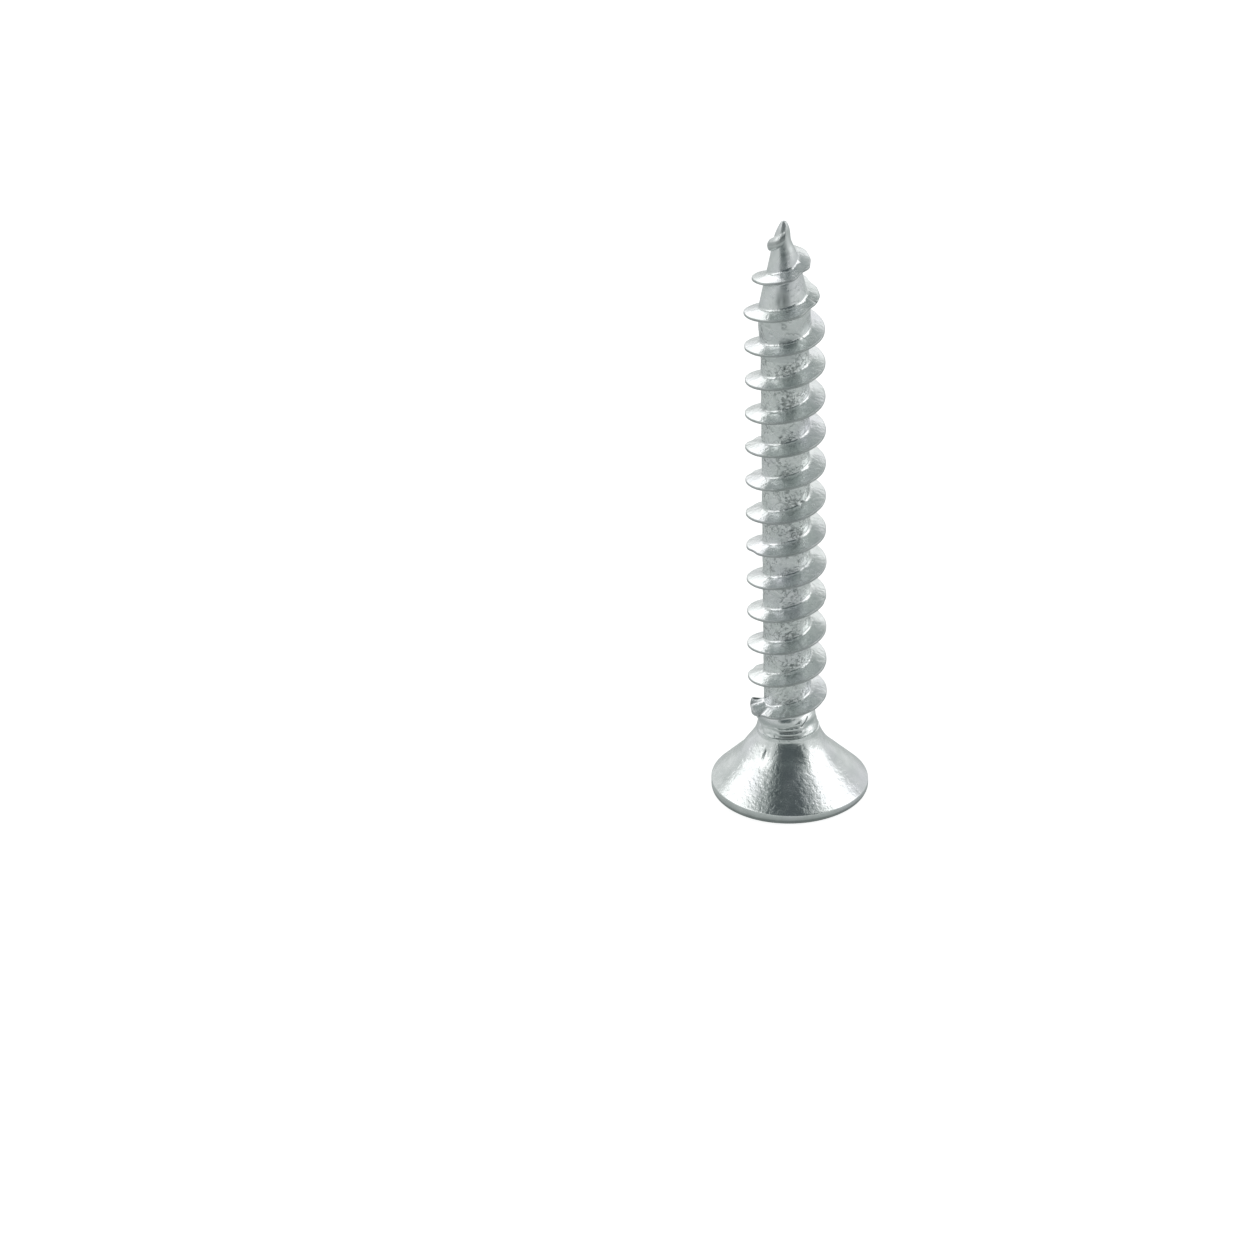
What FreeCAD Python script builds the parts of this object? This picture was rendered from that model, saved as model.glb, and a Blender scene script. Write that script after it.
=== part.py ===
"""Countersunk wood screw, 5.0 x 40 mm, with a cross recess and a single-start right-hand thread.

The screw stands on its head: the flat head face is the plane z = 0 and the point is at the top of
the +Z axis. The real screw is one forging, so each solid here is one named section of it, and
neighbouring sections meet face to face. All lengths are in millimetres.
"""
import FreeCAD, Part
import math
import os

Vector = FreeCAD.Vector

# Head
HEAD_DIAMETER = 10.0
SCREW_LENGTH = 40.0          # from the flat face to the tip
RIM_HEIGHT = 0.70            # where the cone begins
RIM_ROUNDING = 0.30          # rounded edge between the flat face and the rim land
CONE_HALF_ANGLE = math.radians(45.0)
RING_HEIGHT = 4.50           # parting ring between the head's flare and the neck
RING_DIAMETER = 4.04

# Neck
NECK_DIAMETER = 3.94         # at the parting ring, one small step inside the head
NECK_END_DIAMETER = 3.50
NECK_TAPER_END = 5.45
NECK_END = 5.90              # the step down to the root body ends here
NECK_SLOPE = 0.33            # how fast the flare still narrows where it meets the neck

# Thread
THREAD_DIAMETER = 5.0
CORE_DIAMETER = 3.0
PITCH = 2.33
FIRST_CREST_HEIGHT = 5.80    # lowest height of the crest on the -X side, where turns count from
FIRST_CREST_ANGLE = math.pi
CREST_HALF_WIDTH = 0.06
FLANK_FOOT_HALF_WIDTH = 0.33
FLANK_FOOT_RISE = 0.14       # the flank meets its flared root this far above the root body
ROOT_HALF_WIDTH = 0.50
FIRST_TURN = -0.11           # the blunt first end lies just behind the -X side
RUN_OUT_TURNS = 0.06         # the flight reaches its full height over this part of a turn
RUN_OUT_SCALE = 0.80         # size of the blunt first end
POINTS_PER_TURN = 24
ROOT_STRIPS = 4

# Point: (height, radius) of the root body and of the crest
POINT_START = 31.0
BODY_OUTLINE = [
    (POINT_START, CORE_DIAMETER / 2), (33.0, 1.63), (34.2, 1.57), (35.3, 1.37),
    (36.6, 1.09), (37.9, 0.82), (38.9, 0.55), (39.6, 0.33), (SCREW_LENGTH, 0.14),
]
CREST_OUTLINE = [
    (33.2, THREAD_DIAMETER / 2), (34.9, 2.28), (36.1, 2.00), (37.3, 1.64), (38.4, 0.98), (39.2, 0.62),
]
POINT_THREAD_START = 33.18   # crest height where the flight leaves the parallel shank
THREAD_END = 39.10

# Cross recess: four wings about a tapered centre, with shallow ribs between the wings
WING_SPAN = 5.20
WING_BOTTOM_SPAN = 2.50
WING_WIDTH = 1.30
WING_DEPTH = 2.60
CENTRE_DIAMETER = 2.90
CENTRE_BOTTOM_DIAMETER = 2.20
CENTRE_TIP_DEPTH = 3.10
RIB_SPAN = 5.40
RIB_WIDTH = 0.22
RIB_CENTRE_DEPTH = 1.10
RIB_END_DEPTH = 0.05
CUTTER_OVERSHOOT = 0.20      # how far the recess cutters stand out of the flat face

head_radius = HEAD_DIAMETER / 2
core_radius = CORE_DIAMETER / 2
thread_radius = THREAD_DIAMETER / 2
point_curve = Part.BSplineCurve()
point_curve.interpolate(
    Points=[Vector(radius, 0, height) for height, radius in BODY_OUTLINE],
    Parameters=[height for height, radius in BODY_OUTLINE],
)


def between(outline, height):
    """Radius at a height, along straight runs between the outline's points."""
    if height <= outline[0][0]:
        return outline[0][1]
    for (low, low_radius), (high, high_radius) in zip(outline, outline[1:]):
        if height <= high:
            share = (height - low) / (high - low)
            return low_radius + share * (high_radius - low_radius)
    return outline[-1][1]


def body_radius(height):
    """Radius of the neck, root body or point at a height, without the flight."""
    if height >= SCREW_LENGTH:
        return BODY_OUTLINE[-1][1]
    if height >= POINT_START:
        return point_curve.value(height).x
    neck_outline = [
        (RING_HEIGHT, NECK_DIAMETER / 2),
        (NECK_TAPER_END, NECK_END_DIAMETER / 2),
        (NECK_END, core_radius),
    ]
    return between(neck_outline, height)


def revolve(edges):
    """Solid of revolution about Z from the edges of an outline in the XZ plane."""
    outline = Part.Face(Part.Wire(edges))
    return outline.revolve(Vector(0, 0, 0), Vector(0, 0, 1), 360)


def line(start, end):
    return Part.LineSegment(start, end).toShape()


def profile_point(radius, height):
    return Vector(radius, 0, height)


def head_blank():
    """Head before the recess is punched: flat face, rounded rim, land, cone and flare."""
    ring = profile_point(RING_DIAMETER / 2, RING_HEIGHT)
    face_edge = profile_point(head_radius - RIM_ROUNDING, 0)
    land_start = profile_point(head_radius, RIM_ROUNDING)
    land_end = profile_point(head_radius, RIM_HEIGHT)
    rim_middle = profile_point(
        head_radius - RIM_ROUNDING * (1 - math.sin(math.pi / 4)),
        RIM_ROUNDING * (1 - math.cos(math.pi / 4)),
    )
    # The flare is an arc that is tangent to the cone and to the neck's own slight taper.
    cone_slope = math.tan(CONE_HALF_ANGLE)
    corner_height = (
        (head_radius + RIM_HEIGHT * cone_slope) - (ring.x + RING_HEIGHT * NECK_SLOPE)
    ) / (cone_slope - NECK_SLOPE)
    corner = profile_point(ring.x + (RING_HEIGHT - corner_height) * NECK_SLOPE, corner_height)
    tangent_length = corner.distanceToPoint(ring)
    along_cone = Vector(math.sin(CONE_HALF_ANGLE), 0, -math.cos(CONE_HALF_ANGLE))
    flare_start = corner + along_cone * tangent_length
    turn = CONE_HALF_ANGLE - math.atan(NECK_SLOPE)
    flare_radius = tangent_length / math.tan(turn / 2)
    centre_side = Vector(math.cos(CONE_HALF_ANGLE), 0, math.sin(CONE_HALF_ANGLE))
    centre = flare_start + centre_side * flare_radius
    to_middle = (corner - centre).normalize()
    flare_middle = centre + to_middle * flare_radius
    bottom = profile_point(0, 0)
    top = profile_point(0, RING_HEIGHT)
    return revolve([
        line(bottom, face_edge),
        Part.Arc(face_edge, rim_middle, land_start).toShape(),
        line(land_start, land_end),
        line(land_end, flare_start),
        Part.Arc(flare_start, flare_middle, ring).toShape(),
        line(ring, top),
        line(top, bottom),
    ])


def wing_cutter(angle):
    """One pair of opposite wings: a slab whose ends taper towards the bottom of the recess."""
    slope = (WING_SPAN - WING_BOTTOM_SPAN) / 2 / WING_DEPTH
    mouth = WING_SPAN / 2 + CUTTER_OVERSHOOT * slope
    bottom = WING_BOTTOM_SPAN / 2
    corners = [
        Vector(-mouth, -WING_WIDTH / 2, -CUTTER_OVERSHOOT),
        Vector(mouth, -WING_WIDTH / 2, -CUTTER_OVERSHOOT),
        Vector(bottom, -WING_WIDTH / 2, WING_DEPTH),
        Vector(-bottom, -WING_WIDTH / 2, WING_DEPTH),
    ]
    outline = Part.Face(Part.makePolygon(corners + corners[:1]))
    slab = outline.extrude(Vector(0, WING_WIDTH, 0))
    return slab.rotate(Vector(0, 0, 0), Vector(0, 0, 1), angle)


def rib_cutter(angle):
    """The shallow grooves that point between the wings, deepest at the centre."""
    corners = [
        Vector(-RIB_SPAN / 2, -RIB_WIDTH / 2, -CUTTER_OVERSHOOT),
        Vector(RIB_SPAN / 2, -RIB_WIDTH / 2, -CUTTER_OVERSHOOT),
        Vector(RIB_SPAN / 2, -RIB_WIDTH / 2, RIB_END_DEPTH),
        Vector(0, -RIB_WIDTH / 2, RIB_CENTRE_DEPTH),
        Vector(-RIB_SPAN / 2, -RIB_WIDTH / 2, RIB_END_DEPTH),
    ]
    outline = Part.Face(Part.makePolygon(corners + corners[:1]))
    slab = outline.extrude(Vector(0, RIB_WIDTH, 0))
    return slab.rotate(Vector(0, 0, 0), Vector(0, 0, 1), angle)


def countersunk_head():
    slope = (CENTRE_DIAMETER - CENTRE_BOTTOM_DIAMETER) / 2 / WING_DEPTH
    mouth_radius = CENTRE_DIAMETER / 2 + CUTTER_OVERSHOOT * slope
    bottom_radius = CENTRE_BOTTOM_DIAMETER / 2
    centre = revolve([
        line(profile_point(0, -CUTTER_OVERSHOOT), profile_point(mouth_radius, -CUTTER_OVERSHOOT)),
        line(profile_point(mouth_radius, -CUTTER_OVERSHOOT), profile_point(bottom_radius, WING_DEPTH)),
        line(profile_point(bottom_radius, WING_DEPTH), profile_point(0, CENTRE_TIP_DEPTH)),
        line(profile_point(0, CENTRE_TIP_DEPTH), profile_point(0, -CUTTER_OVERSHOOT)),
    ])
    recess = centre
    for angle in (0, 90):
        recess = recess.fuse(wing_cutter(angle))
    for angle in (45, 135):
        recess = recess.fuse(rib_cutter(angle))
    return head_blank().cut(recess)


def neck():
    """Plain neck: a slight taper from the parting ring, then the step down to the root body."""
    lower = Part.makeCone(NECK_DIAMETER / 2, NECK_END_DIAMETER / 2,
                          NECK_TAPER_END - RING_HEIGHT, Vector(0, 0, RING_HEIGHT))
    upper = Part.makeCone(NECK_END_DIAMETER / 2, core_radius,
                          NECK_END - NECK_TAPER_END, Vector(0, 0, NECK_TAPER_END))
    return lower.fuse(upper)


def shank_core():
    return Part.makeCylinder(core_radius, POINT_START - NECK_END, Vector(0, 0, NECK_END))


def gimlet_point():
    """Root body of the point: it swells a little, then narrows to the tip."""
    tip_radius = BODY_OUTLINE[-1][1]
    return revolve([
        line(profile_point(0, POINT_START), profile_point(core_radius, POINT_START)),
        point_curve.toShape(),
        line(profile_point(tip_radius, SCREW_LENGTH), profile_point(0, SCREW_LENGTH)),
        line(profile_point(0, SCREW_LENGTH), profile_point(0, POINT_START)),
    ])


def section_points(turn):
    """Corners of the flight's cross-section at a turn, in order round the section."""
    angle = FIRST_CREST_ANGLE + 2 * math.pi * turn
    crest_height = FIRST_CREST_HEIGHT + PITCH * turn
    full_rise = thread_radius - core_radius
    crest_rise = between(CREST_OUTLINE, crest_height) - body_radius(crest_height)
    run_out = min(1.0, RUN_OUT_SCALE + (1 - RUN_OUT_SCALE) * (turn - FIRST_TURN) / RUN_OUT_TURNS)
    scale = min(1.0, crest_rise / full_rise) * run_out
    rise = min(crest_rise, full_rise) * run_out
    width_scale = math.sqrt(scale)
    crest = CREST_HALF_WIDTH * width_scale
    foot = FLANK_FOOT_HALF_WIDTH * width_scale
    root = ROOT_HALF_WIDTH * width_scale
    foot_rise = FLANK_FOOT_RISE * scale
    crest_radius = body_radius(crest_height) + rise
    corners = [
        (body_radius(crest_height - foot) + foot_rise, -foot),
        (crest_radius, -crest),
        (crest_radius, crest),
        (body_radius(crest_height + foot) + foot_rise, foot),
    ]
    for step in range(ROOT_STRIPS + 1):
        offset = root - 2 * root * step / ROOT_STRIPS
        corners.append((body_radius(crest_height + offset), offset))
    return [
        Vector(radius * math.cos(angle), radius * math.sin(angle), crest_height + offset)
        for radius, offset in corners
    ]


def ruled_face(curve, other):
    """Face of straight lines between two curves that share their knots."""
    surface = Part.BSplineSurface()
    surface.buildFromPolesMultsKnots(
        [list(pair) for pair in zip(curve.getPoles(), other.getPoles())],
        curve.getMultiplicities(), [2, 2], curve.getKnots(), [0.0, 1.0],
        False, False, curve.Degree, 1,
    )
    return surface.toShape()


def flight(start_turn, end_turn):
    """Closed helical solid between two turns of the flight."""
    steps = math.ceil((end_turn - start_turn) * POINTS_PER_TURN)
    turns = [start_turn + (end_turn - start_turn) * step / steps for step in range(steps + 1)]
    sections = [section_points(turn) for turn in turns]
    curves = []
    for corner_points in zip(*sections):
        curve = Part.BSplineCurve()
        curve.interpolate(Points=list(corner_points), Parameters=turns)
        curves.append(curve)
    faces = [ruled_face(curve, following) for curve, following in zip(curves, curves[1:] + curves[:1])]
    for section in (sections[0], sections[-1]):
        faces.append(Part.Face(Part.makePolygon(section + section[:1])))
    shell = Part.makeShell(faces)
    shell.sewShape()
    solid = Part.makeSolid(shell)
    if solid.Volume < 0:
        solid.reverse()
    return solid


def turn_at(height):
    """Turn at which the crest reaches a height."""
    return (height - FIRST_CREST_HEIGHT) / PITCH


def make_nodes():
    split = turn_at(POINT_THREAD_START)
    return {
        "countersunk_head": countersunk_head(),
        "neck": neck(),
        "shank_core": shank_core(),
        "shank_thread": flight(FIRST_TURN, split),
        "gimlet_point": gimlet_point(),
        "point_thread": flight(split, turn_at(THREAD_END)),
    }


os.makedirs("parts", exist_ok=True)
for name, shape in make_nodes().items():
    print(name, "valid", shape.isValid(), "solids", len(shape.Solids), "volume", round(shape.Volume, 3))
    shape.exportStep(os.path.join("parts", name + ".step"))
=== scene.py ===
"""Looks of the countersunk wood screw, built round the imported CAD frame.

The screw stands on its head on a pale floor. Shapes are worked out in millimetres about the +Z
axis and turned into meshes in metres. One relief function gives every section its pits and lumps,
so the surface runs on without a seam where one section meets the next.
"""

import math

import bpy
import numpy as np
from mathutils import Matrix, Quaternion, Vector


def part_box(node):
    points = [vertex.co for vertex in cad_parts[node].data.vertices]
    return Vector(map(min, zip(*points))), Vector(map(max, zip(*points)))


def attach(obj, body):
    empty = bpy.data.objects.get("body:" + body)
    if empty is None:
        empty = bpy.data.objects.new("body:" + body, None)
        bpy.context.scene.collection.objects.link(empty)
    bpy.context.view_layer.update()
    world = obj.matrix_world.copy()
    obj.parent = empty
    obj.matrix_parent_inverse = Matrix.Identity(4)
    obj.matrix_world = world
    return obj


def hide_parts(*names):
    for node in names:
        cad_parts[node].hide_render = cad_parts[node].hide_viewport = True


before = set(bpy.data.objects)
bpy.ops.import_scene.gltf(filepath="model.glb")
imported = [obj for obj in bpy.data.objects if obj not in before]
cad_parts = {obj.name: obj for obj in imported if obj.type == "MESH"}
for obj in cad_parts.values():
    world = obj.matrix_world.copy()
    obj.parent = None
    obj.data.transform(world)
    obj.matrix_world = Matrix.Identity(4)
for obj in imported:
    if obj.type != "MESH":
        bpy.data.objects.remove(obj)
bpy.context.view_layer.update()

MM = 0.001
BODY = "root"

# Sizes that the frame gives, in millimetres
head_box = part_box("countersunk_head")
neck_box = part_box("neck")
core_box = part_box("shank_core")
HEAD_RADIUS = head_box[1].x / MM
RING_HEIGHT = head_box[1].z / MM
NECK_RADIUS = neck_box[1].x / MM
NECK_END = neck_box[1].z / MM
CORE_RADIUS = core_box[1].x / MM
POINT_START = core_box[1].z / MM
SCREW_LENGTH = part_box("gimlet_point")[1].z / MM

# Head outline
RIM_ROUNDING = 0.30
RIM_HEIGHT = 0.70
RIM_SHIFT = 0.11             # the rim stands this far off the axis, towards +X
CONE_ANGLE = math.radians(45.0)
CONE_EDGE_ROUNDING = 0.10
RING_RADIUS = 2.02
NECK_SLOPE = 0.33
RING_LAND = 0.23             # nearly upright band at the top of the flare
RING_LAND_SLOPE = 0.18
HEAD_ANGLES = 512
# Dents in the cone: (angle in degrees, height, half width, half length, depth), less than 0 for a bulge
HEAD_DENTS = [
    (235, 3.50, 0.28, 0.70, 0.070), (272, 2.75, 0.10, 0.14, 0.020), (263, 1.35, 0.08, 0.22, 0.012),
    (185, 3.15, 2.60, 1.00, -0.19), (190, 4.50, 1.60, 0.55, 0.07),
]
HEAD_LUMP_DEPTH = 0.0020
HEAD_GRAIN_DEPTH = 0.0003
HEAD_PIT_DEPTH = 0.010
FACE_STAIN = 0.0
# Painted shade in the cross recess, darker towards its bottom
RECESS_FLOOR_PAINTED_SHADE = 0.60
RECESS_WALL_PAINTED_SHADE = (0.19, 0.56)     # painted shade, at the mouth and at the bottom
# Painted shade on the rim rounding and the land, standing in for the shadowed floor they reflect near the
# contact
RIM_PAINTED_SHADE = 0.56
LAND_PAINTED_SHADE = 0.41            # painted shade at the rim, fading up the land

# Cross recess
WING_REACH = 2.60
WING_BOTTOM_REACH = 1.25
WING_HALF_WIDTH = 0.65
WING_BOTTOM_HALF_WIDTH = 0.58
WING_DEPTH = 2.60
CENTRE_RADIUS = 1.45
CENTRE_BOTTOM_RADIUS = 1.10
CENTRE_TIP_DEPTH = 3.10
RIB_REACH = 2.70
RIB_HALF_WIDTH = 0.11
RIB_CENTRE_DEPTH = 1.10
RIB_END_DEPTH = 0.05
RIB_OVERCUT = 0.25           # how far the ribs' grooves cut outside the centre
TICK_REACH = 2.80            # the ticks that the ribs leave in the flat face
TICK_FADE = 1.20
TICK_HALF_WIDTH = 0.143
TICK_DEPTH = 0.16
RECESS_EDGE_ROUNDING = 0.05

# Neck
NECK_OUTLINE = [
    (RING_HEIGHT, NECK_RADIUS), (4.85, 1.87), (5.15, 1.80), (5.45, 1.76),
    (5.68, 1.65), (NECK_END, CORE_RADIUS), (6.20, CORE_RADIUS),
]
NECK_GROOVE_PITCH = 0.30
NECK_GROOVE_DEPTH = 0.018
# Painted shade in the groove bottoms round the front, standing in for the dark they reflect
NECK_GROOVE_PAINTED_SHADE = 0.80
NECK_GROOVE_WANDER = 0.04
NECK_GROOVES_FADE = (5.55, 5.25)     # heights without grooves and with full ones
NECK_FRONT = 274             # the turned grooves are deepest on this side, in degrees
NECK_LUMP_DEPTH = 0.012
NECK_PIT_DEPTH = 0.030
NECK_BATTERED = (-52.0, 38.0)        # centre and half width, from the front in degrees, of deeper lumps
NECK_RINGS = 90
NECK_ANGLES = 256
NECK_FLAT = (324, 5.02, 27, 0.48, 0.12)      # angle, height, half width in degrees, half length, depth
NECK_CREASE = ((298, 5.22), (320, 5.66), 0.07, 0.04)     # from and to (angle, height), half width, depth
# How much darker the neck crease is made
NECK_CREASE_DARKENING = 0.60
RING_LINE_DEPTH = 0.05       # the parting line where the neck meets the head
RING_LINE_HEIGHT = 0.11
# How much darker the parting line is made
RING_LINE_DARKENING = 0.55
RING_LINE_ANGLES = [-34.0, -20.0, 60.0, 80.0]     # from the front, with its strength at each below
RING_LINE_SHARES = [0.0, 1.0, 1.0, 0.2]

# Thread
THREAD_RADIUS = 2.50
PITCH = 2.33
FIRST_CREST_HEIGHT = 5.80
FIRST_TURN = -0.11
BLUNT_TURNS = 0.045          # the rounded first end takes this part of a turn
BULB_TURNS = 0.120           # the first end is swollen and curls up over this part of a turn
BULB_CURL = 0.48
BULB_PINCH = 0.90            # share of the way from the sharp section to a rounded stub
BULB_HALF_THICKNESS = 0.66
HOOK_HALF_THICKNESS = 0.52   # the last end, by the tip
HOOK_PINCH = 0.85
HOOK_HEIGHTS = (37.6, 38.4)          # the flight is pinched into the hook between these
END_RISE = 0.12              # share of the rise left at the blunt first end
END_THICKNESS = 0.35         # share of the thickness left there
ROUGH_START = (0.14, 0.19)   # the first flank grows as rough as the root body between these turns
ROUGH_END = (0.55, 0.45)     # and is smooth from the first of these, fully rough up to the second
FOOT_BANK = 0.70             # the first turn's lower foot spreads this much farther over the neck
FOOT_BANK_TURNS = (0.22, 0.35)       # centre and half width of that spread
CREST_WAVE_DEPTH = 0.030
CREST_GRAIN_DEPTH = 0.014
CREST_NICK_DEPTH = 0.10
CREST_SWAY = 0.024
FLANK_LUMP_DEPTH = 0.010
FLANK_GRAIN_DEPTH = 0.003
FOOT_LUMP_DEPTH = 0.030
POINT_THREAD_START = 33.18
THREAD_END = 39.10
SECTIONS_PER_TURN = 110
# Places where the crest was cut short: (turn, half width in turns, depth), less than 0 for a bulge
CREST_CUTS = [
    (0.00, 0.08, 0.12), (0.135, 0.045, 0.12), (0.93, 0.04, 0.10), (5.08, 0.05, 0.10), (5.92, 0.05, 0.12),
    (6.93, 0.05, 0.10), (7.92, 0.05, 0.14), (11.66, 0.07, -0.08), (12.00, 0.14, -0.12),
    (12.38, 0.07, 0.17), (12.50, 0.20, 0.13), (12.50, 0.04, -0.05), (12.60, 0.05, 0.10),
    (12.69, 0.07, -0.15), (13.37, 0.08, 0.30), (13.47, 0.07, 0.09), (13.62, 0.09, -0.12),
]
# Creases across the flank where metal lapped over: (turn, half width in turns, depth)
FLANK_FOLDS = [(0.035, 0.012, 0.08), (0.115, 0.012, 0.08), (8.00, 0.007, 0.04), (12.44, 0.014, 0.08)]
FOLD_STAIN = 0.60
# Painted shade along the crest, standing in for the dark line of its underside
CREST_PAINTED_SHADE = 0.37
# Painted shade over the outer part of the swollen first end, darkening its outline
BULB_EDGE_PAINTED_SHADE = 0.70
DARK_PATCH_TURNS = (-0.012, 0.040)     # centre and half width, in turns, of the dark patch on the first end
DARK_PATCH_SHARE = (0.55, 0.50)        # its centre and half width as shares of the way from root to crest
SUNK_DEPTH = 0.12            # how far the flight's closed foot lies inside the root body

# Point: (height, radius) of the root body and of the crest
BODY_OUTLINE = [
    (POINT_START, CORE_RADIUS), (33.0, 1.63), (34.2, 1.57), (35.3, 1.37), (36.6, 1.09),
    (37.9, 0.79), (38.9, 0.51), (39.6, 0.32), (SCREW_LENGTH, 0.14),
]
CREST_OUTLINE = [
    (33.2, THREAD_RADIUS), (34.9, 2.28), (36.1, 2.00), (37.3, 1.64), (38.4, 0.94), (39.2, 0.60),
]

# Rolled skin of the root body: lumps, finer lumps, pits and creases
LUMP_DEPTH = 0.012
LUMP_SIZE = 0.90
GRAIN_DEPTH = 0.008
GRAIN_SIZE = 0.30
PIT_DEPTH = 0.050
PIT_STAIN = 0.35
CREASE_DEPTH = 0.032
CREASE_STAIN = 0.60
# Share of the pits and creases that shows at heights along the body
RELIEF_HEIGHTS = [NECK_END, NECK_END + 0.4, 33.0, 34.5, 36.0, 36.8]
RELIEF_SHARES = [0.0, 1.0, 1.0, 0.55, 0.40, 0.08]
CORE_ANGLES = 190
CORE_RINGS = 500
POINT_RINGS = 260

TIP_LEAN = -0.10             # the pinched tip bends towards -X
TIP_LEAN_HEIGHT = 38.7
TIP_LEAN_REACH = 0.75
TIP_STAIN = 0.14
TIP_PINCH = 0.10             # how unevenly the tip is pinched, as a share of its radius
TIP_DOME = 0.07              # height of the rounded end
POINT_SMUDGE = (264, 35.3, 28, 0.9, 0.40)    # angle, height, half width in degrees, half length, stain

# Camera, from the foot of the screw
CAMERA_DISTANCE = 0.450
CAMERA_ELEVATION = math.radians(30.41)
CAMERA_TARGET = Vector((-0.0099, 0.0, 0.01145))
CAMERA_ROLL = math.radians(-1.15)
CAMERA_LENS = 201.2


# ---------------------------------------------------------------- repeatable noise

def hashed(cell_x, cell_y, cell_z, seed):
    """Repeatable value from 0 to 1 for each lattice cell."""
    with np.errstate(over="ignore"):
        mixed = (cell_x.astype(np.int64) * 374761393 + cell_y.astype(np.int64) * 668265263
                 + cell_z.astype(np.int64) * 1440662683 + seed * 974634777)
        mixed = (mixed ^ (mixed >> 13)) & 0xFFFFFFFF
        mixed = (mixed * 1274126177) & 0xFFFFFFFF
        mixed = (mixed ^ (mixed >> 16)) & 0xFFFFFFFF
        mixed = (mixed * 2246822519) & 0xFFFFFFFF
        mixed = mixed ^ (mixed >> 15)
    return mixed.astype(float) / 0xFFFFFFFF


def ripple(points, size, seed):
    """Smooth noise from -1 to 1 whose lumps are about size millimetres across."""
    scaled = points / size
    cell = np.floor(scaled).astype(np.int64)
    part = scaled - cell
    part = part * part * (3 - 2 * part)
    total = np.zeros(points.shape[:-1])
    for step_x in (0, 1):
        weight_x = part[..., 0] if step_x else 1 - part[..., 0]
        for step_y in (0, 1):
            weight_y = part[..., 1] if step_y else 1 - part[..., 1]
            for step_z in (0, 1):
                weight_z = part[..., 2] if step_z else 1 - part[..., 2]
                value = hashed(cell[..., 0] + step_x, cell[..., 1] + step_y, cell[..., 2] + step_z, seed)
                total += value * weight_x * weight_y * weight_z
    return total * 2 - 1


def pits(points, spacing, largest, share, seed):
    """Depth from 0 to 1 of round-bottomed pits strewn one to a cell in a share of the cells."""
    scaled = points / spacing
    cell = np.floor(scaled).astype(np.int64)
    depth = np.zeros(points.shape[:-1])
    steps = [(x, y, z) for x in (-1, 0, 1) for y in (-1, 0, 1) for z in (-1, 0, 1)]
    for step in steps:
        near = [cell[..., axis] + step[axis] for axis in range(3)]
        centre = np.stack([near[axis] + hashed(*near, seed + 1 + axis) for axis in range(3)], -1)
        radius = largest / spacing * (0.35 + 0.65 * hashed(*near, seed + 5))
        present = hashed(*near, seed) < share
        gap = np.linalg.norm(scaled - centre, axis=-1) / radius
        bowl = np.clip(1 - gap * gap, 0, 1) * present * (0.4 + 0.6 * hashed(*near, seed + 6))
        depth = np.maximum(depth, bowl)
    return depth


# ---------------------------------------------------------------- outlines

def smooth_outline(outline, height):
    """Radius at heights on a smooth curve through an outline's points."""
    heights = np.array([place for place, radius in outline])
    radii = np.array([radius for place, radius in outline])
    slopes = np.gradient(radii, heights)
    height = np.clip(height, heights[0], heights[-1])
    index = np.clip(np.searchsorted(heights, height, side="right") - 1, 0, len(heights) - 2)
    width = heights[index + 1] - heights[index]
    share = (height - heights[index]) / width
    return (
        radii[index] * (1 + 2 * share) * (1 - share) ** 2
        + slopes[index] * width * share * (1 - share) ** 2
        + radii[index + 1] * share ** 2 * (3 - 2 * share)
        + slopes[index + 1] * width * share ** 2 * (share - 1)
    )


def body_radius(height):
    """Radius of the neck, root body or point at heights, before relief."""
    height = np.asarray(height, float)
    return np.where(
        height < POINT_START, smooth_outline(NECK_OUTLINE, height), smooth_outline(BODY_OUTLINE, height)
    )


def lean(height):
    """Sideways shift of the pinched tip along X at heights, in millimetres."""
    return TIP_LEAN * np.exp(-((height - TIP_LEAN_HEIGHT) / TIP_LEAN_REACH) ** 2)


def mark(place, centre, half_width):
    """Smooth hump from 0 to 1 round a centre."""
    reach = np.clip(np.abs(place - centre) / half_width, 0, 1)
    return 0.5 + 0.5 * np.cos(math.pi * reach)


def ramp(value, start, end):
    """Straight ramp from 0 at the start value to 1 at the end value."""
    return np.clip((value - start) / (end - start), 0, 1)


def relief(angle, height):
    """Radial lumps, pits and creases of the rolled root body in millimetres, and how dark the staining of
    each is.
    """
    radius = body_radius(height)
    points = np.stack([radius * np.cos(angle), radius * np.sin(angle), height + 0 * angle], -1)
    on_shank = np.interp(height, RELIEF_HEIGHTS, RELIEF_SHARES)
    patchy = np.clip(0.85 + 0.4 * ripple(points, 1.5, 16), 0.3, 1.2)
    lumps = LUMP_DEPTH * ripple(points, LUMP_SIZE, 11) + GRAIN_DEPTH * ripple(points, GRAIN_SIZE, 12) * patchy
    lumps *= np.interp(height, [36.0, 37.0], [1.0, 0.4])
    hollows = np.maximum(pits(points, 0.46, 0.19, 0.55, 21), 0.7 * pits(points, 0.25, 0.11, 0.55, 31))
    warped = points + 0.10 * np.stack([ripple(points, 0.35, seed) for seed in (17, 18, 19)], -1)
    contour = ripple(warped, 0.42, 14) + 0.45 * ripple(warped[..., [1, 2, 0]], 0.19, 13)
    crease = ramp(np.abs(contour), 0.12, 0.0) * np.clip(ripple(points, 0.8, 15) * 3 + 0.7, 0, 1)
    depth = PIT_DEPTH * hollows + CREASE_DEPTH * crease
    stain_and_shade = np.clip(PIT_STAIN * hollows ** 1.5 + CREASE_STAIN * crease, 0, 1) * patchy
    return lumps - depth * patchy * on_shank, np.clip(stain_and_shade, 0, 1) * on_shank


# ---------------------------------------------------------------- mesh helpers

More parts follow.
